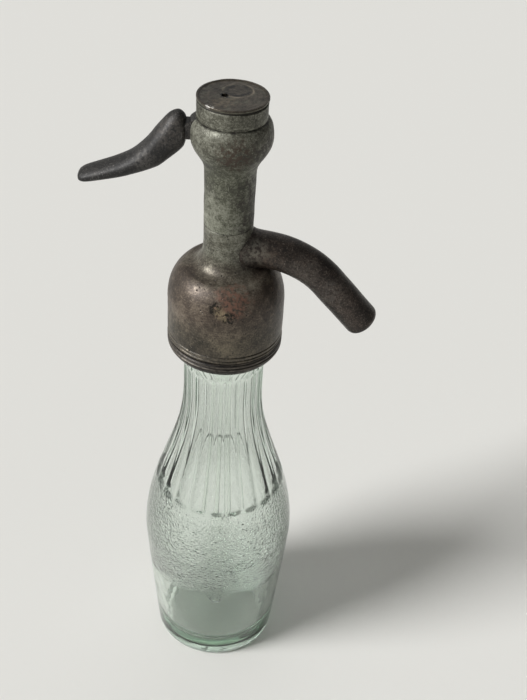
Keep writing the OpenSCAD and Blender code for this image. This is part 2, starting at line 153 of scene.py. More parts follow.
# ---- Bottle ----
# Thick pressed glass, faintly green from iron in the sand. Twenty-two flutes run from under the collar
# down the shoulder, then comes a pebbled band and a smooth foot. It carries the whole siphon.
BELLY_R, BELLY_H = 38.2, 78
FOOT_R, HEEL_R = 32.4, 3.5
NECK_R, SHOULDER_H = 18.7, 173
WALL, BASE = 5, 9
FLUTES, FLUTE_DEPTH, FLUTE_LOW, FLUTE_HIGH = 22, 1.2, 114, 190
PEBBLE_LOW, PEBBLE_HIGH = 58, 111
MOUTH_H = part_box("bottle")[1][2] / MM
LIP_R, LIP_T, FINISH_R, MOUTH_R = 20.5, 12, 18.1, 11


def arc(cx, cy, radius, start, end, count=8):
    """Points of an arc round (cx, cy), with angles in degrees."""
    angles = [math.radians(start + (end - start) * i / count) for i in range(count + 1)]
    return [(cx + radius * math.cos(a), cy + radius * math.sin(a)) for a in angles]


def glass_r(z):
    """Outside radius of the bottle at height z, without its flutes."""
    if z >= SHOULDER_H:
        return NECK_R
    if z >= BELLY_H:
        swell = (1 - math.cos(math.pi * (SHOULDER_H - z) / (SHOULDER_H - BELLY_H))) / 2
        return NECK_R + (BELLY_R - NECK_R) * swell
    return BELLY_R - (BELLY_R - FOOT_R) * ((BELLY_H - z) / (BELLY_H - HEEL_R)) ** 1.15


def refined(loop, step):
    """The same outline with no stretch longer than step."""
    points = [loop[0]]
    for (r0, z0), (r1, z1) in zip(loop, loop[1:]):
        count = max(1, math.ceil(math.hypot(r1 - r0, z1 - z0) / step))
        points += [(r0 + (r1 - r0) * i / count, z0 + (z1 - z0) * i / count) for i in range(1, count + 1)]
    return points


def turned(name, loop, around=160, step=1.0):
    """A solid of revolution about Z. The outline is closed, or starts and ends on the axis."""
    points = refined(loop, step)
    on_axis = points[0][0] == 0
    if not on_axis:
        points = points[:-1]
    mesh = bmesh.new()
    rings = []
    for r, z in points:
        if r == 0:
            rings.append([mesh.verts.new((0, 0, z * MM))])
        else:
            turns = [2 * math.pi * k / around for k in range(around)]
            rings.append([mesh.verts.new((r * MM * math.cos(t), r * MM * math.sin(t), z * MM)) for t in turns])
    pairs = list(zip(rings, rings[1:])) + ([] if on_axis else [(rings[-1], rings[0])])
    for low, high in pairs:
        for k in range(around):
            n = (k + 1) % around
            corners = [low[k % len(low)], low[n % len(low)], high[n % len(high)], high[k % len(high)]]
            mesh.faces.new(list(dict.fromkeys(corners)))
    bmesh.ops.recalc_face_normals(mesh, faces=mesh.faces)
    return made(name, mesh)


def made(name, mesh):
    """Turns a bmesh into a smooth-shaded object in the scene."""
    data = bpy.data.meshes.new(name)
    mesh.to_mesh(data)
    mesh.free()
    piece = bpy.data.objects.new(name, data)
    bpy.context.scene.collection.objects.link(piece)
    data.shade_smooth()
    data.set_sharp_from_angle(angle=math.radians(38))
    return piece


def dressed(piece, material, body, slot, *nodes):
    """Gives a finished piece its material and its body, and hides the nodes it stands for. The slot is not used."""
    piece.data.materials.clear()
    piece.data.materials.append(material)
    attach(piece, body)
    if nodes:
        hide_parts(*nodes)


lip_low = MOUTH_H - LIP_T
inner_floor = BASE + 9
floor_edge = glass_r(inner_floor) - WALL - 9
bottle_outside = (
    [(0, 2.2), (20, 1.7), (26.5, 0.5), (FOOT_R - HEEL_R - 0.8, 0.06)]
    + arc(FOOT_R - HEEL_R, HEEL_R, HEEL_R, -90, 0)
    + [(glass_r(z), z) for z in range(6, FLUTE_HIGH, 2)]
    + [(NECK_R, FLUTE_HIGH), (FINISH_R, FLUTE_HIGH + 4), (FINISH_R, lip_low)]
    + arc(LIP_R - 1, lip_low + 1, 1, -90, 0, 4) + arc(LIP_R - 2, MOUTH_H - 2, 2, 0, 90, 4))
bottle_inside = (
    [(MOUTH_R, MOUTH_H), (MOUTH_R, lip_low - 14), (NECK_R - WALL, lip_low - 20)]
    + [(glass_r(z) - WALL, z) for z in range(SHOULDER_H - 1, inner_floor, -3)]
    + arc(floor_edge, inner_floor, 9, 0, -90) + [(0, BASE)])
bottle = turned("bottle_glass", refined(bottle_outside, 1.3) + bottle_inside, around=FLUTES * 10, step=3)
outside = bottle.data.attributes.new("outside", "FLOAT", "POINT")
for i, v in enumerate(bottle.data.vertices):
    r, z = math.hypot(v.co.x, v.co.y) / MM, v.co.z / MM
    outside.data[i].value = 1.0 if r > glass_r(z) - 1.5 and z < FLUTE_HIGH + 2 else 0.0

# The flutes are pressed into the turned blank by a node tree
pressing = bpy.data.node_groups.new("bottle mould", "GeometryNodeTree")
sizes = (("Flutes", FLUTES), ("Flute depth", FLUTE_DEPTH * MM), ("Flute low", FLUTE_LOW * MM),
         ("Flute high", FLUTE_HIGH * MM), ("Flute end", 2.8 * MM))
pressing.interface.new_socket("Geometry", in_out="INPUT", socket_type="NodeSocketGeometry")
for name, value in sizes:
    pressing.interface.new_socket(name, in_out="INPUT", socket_type="NodeSocketFloat").default_value = value
pressing.interface.new_socket("Material", in_out="INPUT", socket_type="NodeSocketMaterial")
pressing.interface.new_socket("Geometry", in_out="OUTPUT", socket_type="NodeSocketGeometry")
given = pressing.nodes.new("NodeGroupInput").outputs


def calc(operation, *values):
    """One step of arithmetic in the mould's tree."""
    return add(pressing, "ShaderNodeMath", dict(enumerate(values)), operation=operation).outputs[0]


place = add(pressing, "GeometryNodeInputPosition").outputs[0]
split = add(pressing, "ShaderNodeSeparateXYZ", {0: place}).outputs
height = split["Z"]
angle = calc("ARCTAN2", split["Y"], split["X"])
share = calc("FRACT", calc("MULTIPLY", angle, calc("DIVIDE", given["Flutes"], 2 * math.pi)))
across = calc("SUBTRACT", calc("MULTIPLY", share, 2.0), 1.0)
to_end = calc("MINIMUM", calc("SUBTRACT", height, given["Flute low"]), calc("SUBTRACT", given["Flute high"], height))
near_end = calc("MAXIMUM", 0.0, calc("SUBTRACT", 1.0, calc("DIVIDE", to_end, given["Flute end"])))
hollow = calc("SUBTRACT", calc("SUBTRACT", 1.0, calc("POWER", calc("ABSOLUTE", across), 2.4)),
              calc("MULTIPLY", near_end, near_end))
from_axis = add(pressing, "ShaderNodeVectorMath", {
    0: add(pressing, "ShaderNodeCombineXYZ", {"X": split["X"], "Y": split["Y"]}).outputs[0]},
    operation="LENGTH").outputs["Value"]
shallower = calc("SQRT", calc("DIVIDE", from_axis, BELLY_R * MM))
flute = calc("MULTIPLY", calc("MULTIPLY", calc("MAXIMUM", 0.0, hollow), given["Flute depth"]), shallower)
outside_mask = add(pressing, "GeometryNodeInputNamedAttribute", {"Name": "outside"}, data_type="FLOAT").outputs[0]
move = calc("MULTIPLY", calc("MULTIPLY", flute, -1.0), outside_mask)
outward = add(pressing, "ShaderNodeVectorMath", {
    0: add(pressing, "ShaderNodeCombineXYZ", {"X": split["X"], "Y": split["Y"]}).outputs[0]},
    operation="NORMALIZE").outputs[0]
offset = add(pressing, "ShaderNodeVectorMath", {0: outward, "Scale": move}, operation="SCALE").outputs[0]
pressed = add(pressing, "GeometryNodeSetPosition", {"Geometry": given["Geometry"], "Offset": offset})
real = add(pressing, "GeometryNodeRealizeInstances", {"Geometry": pressed.outputs[0]})
painted = add(pressing, "GeometryNodeSetMaterial", {"Geometry": real.outputs[0], "Material": given["Material"]})
add(pressing, "NodeGroupOutput", {0: painted.outputs[0]})

# Soda-lime glass, IOR 1.52, pressed in a mould: glossy, with soft ripples, and green where it is
# thick, as in the base. The pebbled band has grains of about 1.2 mm that scatter what is behind.
pressed_glass, tree = new_material("pressed green glass")
where = add(tree, "ShaderNodeTexCoord").outputs["Object"]
height = add(tree, "ShaderNodeSeparateXYZ", {0: where}).outputs["Z"]
low_fade = add(tree, "ShaderNodeMapRange", {
    "Value": height, "From Min": (PEBBLE_LOW - 2) * MM, "From Max": (PEBBLE_LOW + 4) * MM}).outputs[0]
high_fade = add(tree, "ShaderNodeMapRange", {
    "Value": height, "From Min": (PEBBLE_HIGH + 2) * MM, "From Max": (PEBBLE_HIGH - 3) * MM}).outputs[0]
band_mask = add(tree, "ShaderNodeMath", {0: low_fade, 1: high_fade}, operation="MULTIPLY").outputs[0]
grains = add(tree, "ShaderNodeTexVoronoi", {"Vector": where, "Scale": 1 / (0.85 * MM)}, feature="SMOOTH_F1")
grain_height = add(tree, "ShaderNodeMath", {0: grains.outputs["Distance"], 1: band_mask}, operation="MULTIPLY").outputs[0]
ripples = add(tree, "ShaderNodeTexNoise", {"Vector": where, "Scale": 1 / (9 * MM), "Detail": 1.0})
ripple_bump = add(tree, "ShaderNodeBump", {
    "Height": ripples.outputs["Fac"], "Strength": 0.25, "Distance": 0.4 * MM}).outputs[0]
grain_bump = add(tree, "ShaderNodeBump", {
    "Height": grain_height, "Strength": 0.9, "Distance": 0.32 * MM, "Normal": ripple_bump}, invert=True).outputs[0]
glass_shader = add(tree, "ShaderNodeBsdfPrincipled", {
    "Base Color": tone("#FEFFFE"), "Roughness": 0.02, "IOR": 1.52, "Transmission Weight": 1.0, "Normal": grain_bump})
glass_depth = add(tree, "ShaderNodeVolumeAbsorption", {"Color": tone("#A8D2B4"), "Density": 26.0})
add(tree, "ShaderNodeOutputMaterial", {"Surface": glass_shader.outputs[0], "Volume": glass_depth.outputs[0]})

mould = bottle.modifiers.new("bottle mould", "NODES")
mould.node_group = pressing
for item in pressing.interface.items_tree:
    if item.in_out == "INPUT" and item.name == "Material":
        mould[item.identifier] = pressed_glass
shaped = bpy.data.meshes.new_from_object(bottle.evaluated_get(bpy.context.evaluated_depsgraph_get()))
bottle.modifiers.clear()
bottle.data = shaped
shaped.shade_smooth()
dressed(bottle, pressed_glass, "siphon", "bottle_glass", "bottle")


# ---- Dip tube and its fittings ----
# A drawn glass tube hangs from the head almost to the bottle's floor. A rubber sleeve grips it in
# a threaded boss, and a brass nut squeezes the sleeve.
def plain(name, code, roughness, metallic=0.0, grain=0.4, depth=0.05, shade=0.25, **more):
    """A finish with one hue, clouded and faintly rough at a grain given in millimetres."""
    material, tree = new_material(name)
    where = add(tree, "ShaderNodeTexCoord").outputs["Object"]
    cloud = add(tree, "ShaderNodeTexNoise", {"Vector": where, "Scale": 1 / (grain * 6 * MM), "Detail": 4.0})
    fine = add(tree, "ShaderNodeTexNoise", {"Vector": where, "Scale": 1 / (grain * MM), "Detail": 3.0})
    base = tone(code)
    deep = [c * (1 - shade) for c in base[:3]] + [1.0]
    hue = add(tree, "ShaderNodeMix", {"Factor": cloud.outputs["Fac"], "A": deep, "B": base}, data_type="RGBA")
    bump = add(tree, "ShaderNodeBump", {"Height": fine.outputs["Fac"], "Strength": 0.5, "Distance": depth * MM})
    shader = add(tree, "ShaderNodeBsdfPrincipled", {
        "Base Color": hue.outputs["Result"], "Roughness": roughness, "Metallic": metallic,
        "Normal": bump.outputs[0], **more})
    add(tree, "ShaderNodeOutputMaterial", {"Surface": shader.outputs[0]})
    return material


def repaint(node, material):
    """Gives a CAD node that stays in view its own finish."""
    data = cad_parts[node].data
    data.materials.clear()
    data.materials.append(material)


tube_r, tube_wall = 4.5, 1.5
tube_low, tube_high = (corner[2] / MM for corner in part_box("dip_tube"))
tube = turned("dip_tube_glass", [
    (tube_r - tube_wall, tube_low), (tube_r, tube_low), (tube_r, tube_high), (tube_r - tube_wall, tube_high),
    (tube_r - tube_wall, tube_low)], around=48, step=6)
drawn_glass, tree = new_material("drawn clear glass")
shader = add(tree, "ShaderNodeBsdfPrincipled", {
    "Base Color": tone("#FDFFFD"), "Roughness": 0.03, "IOR": 1.5, "Transmission Weight": 1.0})
add(tree, "ShaderNodeOutputMaterial", {"Surface": shader.outputs[0]})
dressed(tube, drawn_glass, "siphon", "tube_glass", "dip_tube")
black_rubber = plain("moulded black rubber", "#1E1C1B", 0.75, grain=0.3)
turned_brass = plain("turned brass, dulled", "#A98A4E", 0.38, metallic=1.0, grain=0.25, depth=0.02)
waxed_leather = plain("waxed leather", "#4A3020", 0.6, grain=0.5, depth=0.08)
spring_wire = plain("drawn steel wire", "#9C9C9A", 0.3, metallic=1.0, grain=0.2, depth=0.01)
for node in ("tube_sleeve", "neck_washer", "valve_washer"):
    repaint(node, black_rubber)
for node in ("tube_nut", "split_ring_left", "split_ring_right", "valve_seat", "washer_screw",
             "plunger_foot", "plunger", "gland_nut", "guide_nut"):
    repaint(node, turned_brass)
for node in ("seat_gasket", "packing"):
    repaint(node, waxed_leather)
repaint("lever_pin", spring_wire)


# ---- Spring ----
# Drawn steel wire wound into a coil. It sits between the plunger's collar and the guide nut, and is
# pressed together as the plunger rises. It is drawn by a node tree and kept as plain mesh.
WIRE_R, COIL_R, TURNS, LIFT = 0.7, 5.0, 8, 2.7
spring_low, spring_high = (corner[2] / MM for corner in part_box("spring"))
winding = bpy.data.node_groups.new("spring winding", "GeometryNodeTree")
winding.interface.new_socket("Geometry", in_out="INPUT", socket_type="NodeSocketGeometry")
winding.interface.new_socket("Geometry", in_out="OUTPUT", socket_type="NodeSocketGeometry")
line = add(winding, "GeometryNodeCurveSpiral", {
    "Resolution": 32, "Rotations": TURNS, "Start Radius": COIL_R * MM, "End Radius": COIL_R * MM,
    "Height": (spring_high - spring_low - 2 * WIRE_R) * MM})
section = add(winding, "GeometryNodeCurvePrimitiveCircle", {"Resolution": 14, "Radius": WIRE_R * MM})
wire = add(winding, "GeometryNodeCurveToMesh", {
    "Curve": line.outputs[0], "Profile Curve": section.outputs[0], "Fill Caps": True})
lifted = add(winding, "GeometryNodeTransform", {
    "Geometry": wire.outputs[0], "Translation": (0, 0, (spring_low + WIRE_R) * MM)})
real = add(winding, "GeometryNodeRealizeInstances", {"Geometry": lifted.outputs[0]})
painted = add(winding, "GeometryNodeSetMaterial", {"Geometry": real.outputs[0], "Material": spring_wire})
add(winding, "NodeGroupOutput", {0: painted.outputs[0]})
coil = made("spring_wound", bmesh.new())
coil.modifiers.new("spring winding", "NODES").node_group = winding
wound = bpy.data.meshes.new_from_object(coil.evaluated_get(bpy.context.evaluated_depsgraph_get()))
coil.modifiers.clear()
coil.data = wound
wound.shade_smooth()
dressed(coil, spring_wire, "siphon", "spring_steel", "spring")
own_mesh(coil)


# ---- Collar ring ----
# Cast pewter, turned on its outside. It screws up into the head's skirt and pulls the split ring
# against the lip of the glass. Its band is the dark foot of the head, and light lines painted along
# its turned ridges stand in for their highlights.
def cast_pewter(name, palette, rough=(0.4, 0.62), metallic=0.7, pits=0.5, scratches=0.3, turning=0.1,
                scratch_tone=None, blends=(), levels=(), marks=(), rings=()):
    """Old cast pewter. Tin-lead dulls to a grey oxide with brown and green clouds, pits of about a
    millimetre, fine scratches and a soft broken shine. A palette is its light, middle and dark.
    blends are (from z, to z, palette), levels (z, half width, colour, strength), marks patches
    (centre, radius, colour, strength) and rings (centre, radius, half width, colour, strength),
    all in millimetres."""
    material, tree = new_material(name)
    where = add(tree, "ShaderNodeTexCoord").outputs["Object"]
    height = add(tree, "ShaderNodeSeparateXYZ", {0: where}).outputs["Z"]

    def noise_at(millimetres, detail, roughness=0.6, vector=where):
        return add(tree, "ShaderNodeTexNoise", {
            "Vector": vector, "Scale": 1 / (millimetres * MM), "Detail": detail, "Roughness": roughness}).outputs["Fac"]

    def maths(operation, *values):
        return add(tree, "ShaderNodeMath", dict(enumerate(values)), operation=operation).outputs[0]

    def between(value, low, high, to_low=0.0, to_high=1.0):
        return add(tree, "ShaderNodeMapRange", {
            "Value": value, "From Min": low, "From Max": high, "To Min": to_low, "To Max": to_high}).outputs[0]

    def mixed(factor, a, b):
        return add(tree, "ShaderNodeMix", {"Factor": factor, "A": a, "B": b}, data_type="RGBA").outputs["Result"]

    flat = add(tree, "ShaderNodeVectorMath", {0: where, 1: (1, 1, 0)}, operation="MULTIPLY").outputs[0]
    radius_here = add(tree, "ShaderNodeVectorMath", {0: flat}, operation="LENGTH").outputs["Value"]
    lathe = add(tree, "ShaderNodeCombineXYZ", {
        "X": radius_here, "Y": height, "Z": maths("MULTIPLY", add(tree, "ShaderNodeSeparateXYZ", {
            0: where}).outputs["X"], 0.12)}).outputs[0]
    clouds = noise_at(17, 3.0)
    mottle = noise_at(2.8, 9.0, 0.7)
    fine = noise_at(0.7, 4.0, 0.7)
    turned_lines = noise_at(0.9, 3.0, 0.6, lathe)
    blend = maths("ADD", maths("ADD", maths("MULTIPLY", clouds, 0.35), maths("MULTIPLY", mottle, 0.35)),
                  maths("ADD", maths("MULTIPLY", fine, 0.3 - turning), maths("MULTIPLY", turned_lines, turning)))

    def shaded(light, middle, dark):
        two = mixed(between(blend, 0.4, 0.51), tone(dark), tone(middle))
        return mixed(between(blend, 0.5, 0.63), two, tone(light))

    light = palette[0]
    colour = shaded(*palette)
    for low, high, other in blends:
        wavy = maths("ADD", height, maths("MULTIPLY", maths("SUBTRACT", clouds, 0.5), 16 * MM))
        colour = mixed(between(wavy, low * MM, high * MM), colour, shaded(*other))
    colour = mixed(maths("MULTIPLY", between(fine, 0.57, 0.68), 0.45), colour, tone(scratch_tone or light))
    streaks = add(tree, "ShaderNodeMapping", {
        "Vector": where, "Rotation": (0.5, 0.35, 0.2), "Scale": (1.0, 1.0, 0.07)}).outputs[0]
    scratch = maths("MULTIPLY", between(noise_at(0.32, 1.0, 0.5, streaks), 0.62, 0.72),
                    between(noise_at(7, 3.0), 0.5, 0.62))
    colour = mixed(maths("MULTIPLY", scratch, scratches), colour, tone(scratch_tone or light))
    cells = add(tree, "ShaderNodeTexVoronoi", {"Vector": where, "Scale": 1 / (1.8 * MM), "Randomness": 1.0})
    pit = maths("MULTIPLY", between(cells.outputs["Distance"], 0.26, 0.1), maths("MULTIPLY", between(
        noise_at(5, 3.0), 0.44, 0.6), pits))
    colour = mixed(maths("MULTIPLY", pit, 0.75), colour, tone("#171412"))
    for z, half, code, strength in levels:
        off = maths("ABSOLUTE", maths("SUBTRACT", height, z * MM))
        uneven = maths("ADD", off, maths("MULTIPLY", maths("SUBTRACT", noise_at(2.2, 6.0), 0.5), half * 3.5 * MM))
        faded = maths("MULTIPLY", between(noise_at(6, 4.0), 0.35, 0.6), strength)
        colour = mixed(maths("MULTIPLY", between(uneven, half * MM, half * 0.2 * MM), faded), colour, tone(code))
    for centre, radius, code, strength in marks:
        away = add(tree, "ShaderNodeVectorMath", {0: where, 1: [c * MM for c in centre]}, operation="DISTANCE")
        edge = maths("ADD", away.outputs["Value"], maths("MULTIPLY", maths("SUBTRACT", noise_at(2.6, 7.0), 0.5),
                                                         radius * 1.6 * MM))
        worn = between(edge, radius * MM, radius * 0.5 * MM)
        broken = maths("MULTIPLY", worn, between(noise_at(1.1 + radius * 0.05, 6.0), 0.42, 0.56))
        colour = mixed(maths("MULTIPLY", broken, strength), colour, tone(code))
    for centre, radius, half, code, strength in rings:
        away = add(tree, "ShaderNodeVectorMath", {0: where, 1: [c * MM for c in centre]}, operation="DISTANCE")
        off = maths("ABSOLUTE", maths("SUBTRACT", away.outputs["Value"], radius * MM))
        uneven = maths("ADD", off, maths("MULTIPLY", maths("SUBTRACT", noise_at(2.2, 6.0), 0.5), half * 2 * MM))
        faded = maths("MULTIPLY", between(noise_at(5, 3.0), 0.36, 0.56), strength)
        colour = mixed(maths("MULTIPLY", between(uneven, half * MM, 0.0), faded), colour, tone(code))
    relief = maths("SUBTRACT", maths("ADD", maths("MULTIPLY", mottle, 0.5), maths("MULTIPLY", fine, 0.2)), pit)
    bump = add(tree, "ShaderNodeBump", {"Height": relief, "Strength": 0.7, "Distance": 0.2 * MM}).outputs[0]
    shine = maths("ADD", between(blend, 0.35, 0.65, rough[1], rough[0]), maths("MULTIPLY", fine, 0.08))
    shader = add(tree, "ShaderNodeBsdfPrincipled", {
        "Base Color": colour, "Metallic": metallic, "Roughness": shine, "Normal": bump})
    add(tree, "ShaderNodeOutputMaterial", {"Surface": shader.outputs[0]})
    return material


def curve(a, b, c, d, count=12):
    """Points of a cubic curve through a and d, pulled towards b and c."""
    shares = [i / count for i in range(count + 1)]
    return [tuple((1 - t) ** 3 * p + 3 * t * (1 - t) ** 2 * q + 3 * t * t * (1 - t) * r + t ** 3 * s
                  for p, q, r, s in zip(a, b, c, d)) for t in shares]


def settled(piece):
    """Turns a piece's modifiers into plain mesh."""
    data = bpy.data.meshes.new_from_object(piece.evaluated_get(bpy.context.evaluated_depsgraph_get()))
    piece.modifiers.clear()
    piece.data = data
    data.validate()
    data.shade_smooth()
    data.set_sharp_from_angle(angle=math.radians(38))


def cast_skin(piece, depth, grain):
    """Gives a surface the slight waviness of a hand-finished casting, both sizes in millimetres."""
    data = piece.data
    normals = [v.normal.copy() for v in data.vertices]
    for v, normal in zip(data.vertices, normals):
        v.co += normal * noise.noise(v.co / (grain * MM)) * depth * MM
    data.update()


def joined(piece, operation, *tools):
    """Joins or cuts a piece with each tool, and deletes the tools."""
    for tool in tools:
        boolean = piece.modifiers.new(operation.lower(), "BOOLEAN")
        boolean.operation = operation
        boolean.solver = "EXACT"
        boolean.object = tool
        bpy.context.view_layer.update()
        settled(piece)
        bpy.data.objects.remove(tool)


collar_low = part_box("collar_ring")[0][2] / MM
upstand_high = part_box("collar_ring")[1][2] / MM
dome_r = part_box("head_body")[1][0] / MM
skirt_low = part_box("head_body")[0][2] / MM
band_r = dome_r + 0.1
collar = turned("collar_ring_cast", (
    [(20.8, collar_low), (dome_r - 2.6, collar_low)]
    + curve((dome_r - 2.2, collar_low + 0.2), (dome_r - 0.8, collar_low + 1.6),
            (band_r, collar_low + 3), (band_r, collar_low + 4.4))
    + [(band_r - 0.45, collar_low + 4.9), (band_r, collar_low + 5.3), (band_r, collar_low + 6.3),
       (band_r - 0.45, collar_low + 6.8), (band_r, collar_low + 7.2), (band_r, skirt_low - 0.1),
       (dome_r - 2.0, skirt_low - 0.1), (dome_r - 2.0, upstand_high), (dome_r - 3.2, upstand_high),
       (dome_r - 3.2, collar_low + 4.4), (20.8, collar_low + 4.4), (20.8, collar_low)]), around=200, step=0.7)
cast_skin(collar, 0.08, 9)
turned_pewter = cast_pewter(
    "turned pewter, darkened", ("#5A544B", "#332E29", "#1C1917"), rough=(0.3, 0.5), metallic=0.6, pits=0.4,
    # The light levels at collar_low + 4.3 and + 5.8 are painted highlights on the ridges beside the grooves.
    levels=((collar_low + 4.3, 0.3, "#8E877B", 0.4), (collar_low + 4.9, 0.3, "#12100F", 0.9),
            (collar_low + 5.8, 0.35, "#8E877B", 0.3), (collar_low + 6.8, 0.3, "#12100F", 0.9)))
dressed(collar, turned_pewter, "siphon", "dark_pewter", "collar_ring")


# ---- Head casting ----
# One pewter casting: a skirt that covers the glass mouth, a round dome and the stub of the upright
# neck. Its skin is brown-grey, pitted and worn, with a coppery patch scraped on its front. Its right
# side is painted darker as shade, and a light line on the skirt's ridge is a painted highlight.
RISE = 19.3
ceiling = MOUTH_H + 2.5
stem_r = 10.6
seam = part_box("head_body")[1][2] / MM
dome_top = ceiling + RISE
dome_arc = [(dome_r - 11.2 + 11.2 * math.cos(a), ceiling + 1.5 + (RISE - 1.5) * math.sin(a))
            for a in (math.radians(72 * i / 18) for i in range(19))]
casting = turned("head_casting", (
    [(dome_r - 1.9, skirt_low), (dome_r - 0.25, skirt_low), (dome_r, skirt_low + 0.25)]
    + [(dome_r, skirt_low + 1.0), (dome_r - 0.4, skirt_low + 1.4), (dome_r, skirt_low + 1.8)]
    + [(dome_r, skirt_low + 3.0), (dome_r - 0.4, skirt_low + 3.4), (dome_r, skirt_low + 3.8)]
    + dome_arc
    + curve((dome_r - 8.4, dome_top - 0.8), (stem_r + 1.6, dome_top + 0.2),
            (stem_r, dome_top + 4.5), (stem_r, dome_top + 12), 16)
    + [(stem_r, seam - 0.12), (stem_r - 0.12, seam), (8.1, seam), (8.1, seam - 6), (6.5, seam - 6),
       (6.5, ceiling + 11.5), (3.5, ceiling + 11.5), (3.5, ceiling + 1.5), (7.4, ceiling + 1.5),
       (7.4, ceiling - 10), (8.6, ceiling - 10), (8.6, ceiling), (dome_r - 1.9, ceiling),
       (dome_r - 1.9, skirt_low)]), around=220, step=0.8)
cast_skin(casting, 0.2, 11)
cast_skin(casting, 0.04, 2.2)
GRIME = "#181513"
GREEN_GREY = ("#8C8C80", "#545348", "#2A2823")
head_pewter = cast_pewter(
    "cast pewter, brown", ("#776C5F", "#4C4239", "#342D27"), rough=(0.3, 0.48), metallic=0.5, pits=1.3,
    blends=((dome_top - 4, dome_top + 9, GREEN_GREY), (ceiling + 5, ceiling - 7, ("#706857", "#4A443A", "#2C2922"))),
    # The light level at skirt_low + 2.4 is a painted highlight on the ridge between the skirt's grooves.
    levels=((skirt_low + 1.4, 0.35, GRIME, 0.9), (skirt_low + 3.4, 0.35, GRIME, 0.9),
            (skirt_low + 2.4, 0.4, "#8C8578", 0.3), (seam, 0.35, GRIME, 0.9)),
    marks=(((4.0, -21.5, 237.5), 8.5, "#7D5B4D", 0.75), ((-3.2, -23.2, 235.5), 3.4, "#1C1811", 2.5),
           ((2.5, -24.0, 231.5), 3.4, "#1C1811", 2.0), ((-0.5, -23.6, 233), 3.8, "#93846A", 0.8),
           # The two marks on the next line are painted shade on the right side of the neck and dome, away from the
           # window light.
           ((11, -7, 252), 10.5, "#332C27", 0.9), ((25, -12, 226), 17.0, "#2B2520", 0.6)))
dressed(casting, head_pewter, "siphon", "pewter", "head_body")


# ---- Spout ----
# A pewter tube cast with a bend, soldered to the neck at a filleted root and rounded at its mouth.
# It is handled most, so it is dark and smooth.
BEND_R, BEND = 46, math.radians(49)
ROOT_X, ROOT_Z = 10.0, ceiling + 27.5
NOZZLE = 28
SPOUT_R, TIP_R, PASSAGE_R, TIP_ROUND = 8.0, 7.8, 4.0, 3.2
FILLET, FILLET_REACH = 1.5, 1.3


def spout_path(s):
    """Place and direction, in the XZ plane, at the length s along the spout's middle line."""
    bend_length = BEND_R * BEND
    if s <= 0:
        return (ROOT_X + s, ROOT_Z), (1, 0)
    turn = min(s, bend_length) / BEND_R
    x, z = ROOT_X + BEND_R * math.sin(turn), ROOT_Z - BEND_R * (1 - math.cos(turn))
    rest = max(0, s - bend_length)
    return (x + rest * math.cos(turn), z - rest * math.sin(turn)), (math.cos(turn), -math.sin(turn))


def swept(name, stations, path, sides=72):
    """A closed tube through (length, radius) stations, out along its outside and back inside."""
    mesh = bmesh.new()
    rings = []
    for s, radius in stations:
        (x, z), (dx, dz) = path(s)
        turns = [2 * math.pi * k / sides for k in range(sides)]
        rings.append([mesh.verts.new((
            (x - dz * radius * math.cos(t)) * MM, radius * math.sin(t) * MM, (z + dx * radius * math.cos(t)) * MM))
            for t in turns])
    for low, high in zip(rings, rings[1:] + rings[:1]):
        for k in range(sides):
            n = (k + 1) % sides
            mesh.faces.new([low[k], low[n], high[n], high[k]])
    bmesh.ops.recalc_face_normals(mesh, faces=mesh.faces)
    return made(name, mesh)


spout_length = BEND_R * BEND + NOZZLE
round_from = spout_length - TIP_ROUND
outer = [(-4.4 + 0.55 * i, SPOUT_R) for i in range(8)]
for i in range(79):
    s = i / 78 * round_from
    taper = max(0, s - BEND_R * BEND * 0.6) / (round_from - BEND_R * BEND * 0.6)
    outer.append((s, SPOUT_R + (TIP_R - SPOUT_R) * taper))
tip = [(round_from + TIP_ROUND * math.sin(a), TIP_R - TIP_ROUND * (1 - math.cos(a)))
       for a in (math.radians(72 * i / 9) for i in range(1, 10))]
mouth = [(spout_length, PASSAGE_R + 0.3), (spout_length - 0.4, PASSAGE_R)]
inner = [(spout_length * (1 - i / 30), PASSAGE_R) for i in range(1, 31)] + [(-4.4, PASSAGE_R)]
spout = swept("spout_cast", outer + tip + mouth + inner, spout_path)
# The solder fillet swells the tube where it comes near the head's surface
head_surface = BVHTree.FromObject(casting, bpy.context.evaluated_depsgraph_get())
for v in spout.data.vertices:
    (x, z), (dx, dz) = spout_path(max(0, v.co.x / MM - ROOT_X))
    centre = Vector((v.co.x, 0, ROOT_Z * MM)) if v.co.x < (ROOT_X + 8) * MM else v.co
    radial = Vector((0, v.co.y, v.co.z - centre.z))
    if radial.length > (PASSAGE_R + 1) * MM:
        place, normal, _, distance = head_surface.find_nearest(v.co)
        outside_head = (v.co - place).dot(normal) > 0
        near = math.exp(-distance / MM / FILLET_REACH) if outside_head else 1.0
        v.co += radial.normalized() * FILLET * near * MM
spout.data.update()
cast_skin(spout, 0.22, 13)
spout_pewter = cast_pewter(
    "cast pewter, handled dark", ("#544A43", "#302924", "#1B1715"), rough=(0.28, 0.46), metallic=0.5, pits=0.3,
    scratches=0.6, scratch_tone="#7A736B", turning=0.0,
    marks=(((34, -7, 246), 9.0, "#5C5650", 0.35), ((47, -8, 236), 8.0, "#66605A", 0.35),
           ((17, -7, 250), 8.0, "#6A5D52", 0.4),
           ((11, -5, 254), 8.0, "#66635A", 0.7)))
dressed(spout, spout_pewter, "siphon", "dark_pewter", "spout")
